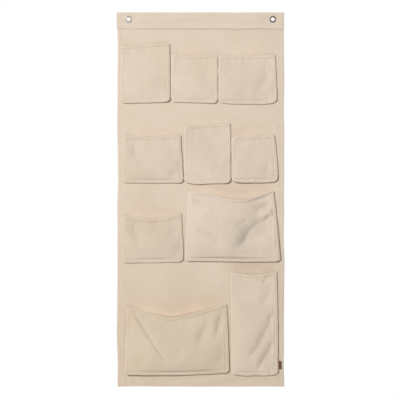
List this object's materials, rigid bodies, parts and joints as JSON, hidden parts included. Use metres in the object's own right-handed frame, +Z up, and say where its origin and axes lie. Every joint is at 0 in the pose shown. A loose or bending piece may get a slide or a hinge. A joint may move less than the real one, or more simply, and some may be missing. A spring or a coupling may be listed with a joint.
{
  "type": "canvas wall pocket organizer",
  "caption": "Hanging canvas panel with gusseted patch pockets in four rows, a doubled top band and two metal eyelets to hang it by.",
  "frame": {"origin": "midway between the two eyelets' centres, on the wall plane that the eyelets' rolled backs touch", "axes": "+Y into the wall, so the pockets face -Y; +X to the right of someone who looks at the pockets; +Z up"},
  "size_m": [0.4524, 0.0299, 1.012],
  "materials": {
    "canvas": "undyed cotton canvas, plain weave, matt",
    "steel": "nickel-plated, smooth",
    "leather": "brown, matt, bare"
  },
  "bodies": {
    "panel": {"back_panel": "canvas", "top_band": "canvas", "eyelet_left": "steel", "eyelet_right": "steel", "washer_left": "steel", "washer_right": "steel", "gusset_top_left": "canvas", "gusset_top_middle": "canvas", "gusset_top_right": "canvas", "gusset_second_left": "canvas", "gusset_second_middle": "canvas", "gusset_second_right": "canvas", "gusset_third_left": "canvas", "gusset_third_wide": "canvas", "gusset_bottom_wide": "canvas", "gusset_bottom_long": "canvas"},
    "front_top_left": {"front_top_left": "canvas"},
    "front_top_middle": {"front_top_middle": "canvas"},
    "front_top_right": {"front_top_right": "canvas"},
    "front_second_left": {"front_second_left": "canvas"},
    "front_second_middle": {"front_second_middle": "canvas"},
    "front_second_right": {"front_second_right": "canvas"},
    "front_third_left": {"front_third_left": "canvas"},
    "front_third_wide": {"front_third_wide": "canvas"},
    "front_bottom_wide": {"front_bottom_wide": "canvas"},
    "front_bottom_long": {"front_bottom_long": "canvas"},
    "side_tag": {"side_tag": "leather"}
  },
  "joints": [
    {"name": "open_top_left", "type": "hinge", "parent": "panel", "child": "front_top_left", "pos_m": [-0.149, -0.0105, -0.2281], "axis": [1, 0, 0], "range_deg": [0, 8.4], "stiffness_Nm_per_rad": 0.012, "springref_deg": -4.58, "deforming": ["gusset_top_left"]},
    {"name": "open_top_middle", "type": "hinge", "parent": "panel", "child": "front_top_middle", "pos_m": [-0.01675, -0.0105, -0.2281], "axis": [1, 0, 0], "range_deg": [0, 10.4], "stiffness_Nm_per_rad": 0.01, "springref_deg": -4.58, "deforming": ["gusset_top_middle"]},
    {"name": "open_top_right", "type": "hinge", "parent": "panel", "child": "front_top_right", "pos_m": [0.12775, -0.0105, -0.2281], "axis": [1, 0, 0], "range_deg": [0, 10.4], "stiffness_Nm_per_rad": 0.01, "springref_deg": -5.73, "deforming": ["gusset_top_right"]},
    {"name": "open_second_left", "type": "hinge", "parent": "panel", "child": "front_second_left", "pos_m": [-0.12925, -0.0105, -0.4441], "axis": [1, 0, 0], "range_deg": [0, 10.4], "stiffness_Nm_per_rad": 0.01, "springref_deg": -6.88, "deforming": ["gusset_second_left"]},
    {"name": "open_second_middle", "type": "hinge", "parent": "panel", "child": "front_second_middle", "pos_m": [0.01875, -0.0105, -0.4441], "axis": [1, 0, 0], "range_deg": [0, 8.4], "stiffness_Nm_per_rad": 0.012, "springref_deg": -4.58, "deforming": ["gusset_second_middle"]},
    {"name": "open_second_right", "type": "hinge", "parent": "panel", "child": "front_second_right", "pos_m": [0.1475, -0.0105, -0.4441], "axis": [1, 0, 0], "range_deg": [0, 10.4], "stiffness_Nm_per_rad": 0.01, "springref_deg": -6.88, "deforming": ["gusset_second_right"]},
    {"name": "open_third_left", "type": "hinge", "parent": "panel", "child": "front_third_left", "pos_m": [-0.1285, -0.0105, -0.6571], "axis": [1, 0, 0], "range_deg": [0, 10.4], "stiffness_Nm_per_rad": 0.01, "springref_deg": -8.02, "deforming": ["gusset_third_left"]},
    {"name": "open_third_wide", "type": "hinge", "parent": "panel", "child": "front_third_wide", "pos_m": [0.086, -0.0105, -0.6571], "axis": [1, 0, 0], "range_deg": [0, 7.1], "stiffness_Nm_per_rad": 0.03, "springref_deg": -9.17, "deforming": ["gusset_third_wide"]},
    {"name": "open_bottom_wide", "type": "hinge", "parent": "panel", "child": "front_bottom_wide", "pos_m": [-0.0635, -0.0105, -0.9626], "axis": [1, 0, 0], "range_deg": [0, 7.1], "stiffness_Nm_per_rad": 0.03, "springref_deg": -9.17, "deforming": ["gusset_bottom_wide"]},
    {"name": "open_bottom_long", "type": "hinge", "parent": "panel", "child": "front_bottom_long", "pos_m": [0.14575, -0.0105, -0.9626], "axis": [1, 0, 0], "range_deg": [0, 4.8], "stiffness_Nm_per_rad": 0.03, "springref_deg": -5.73, "deforming": ["gusset_bottom_long"]},
    {"name": "side_tag_bend", "type": "hinge", "parent": "front_bottom_long", "child": "side_tag", "pos_m": [0.21077, -0.0105, -0.9331], "axis": [0, 0, -1], "range_deg": [-40, 90], "stiffness_Nm_per_rad": 0.0005}
  ]
}
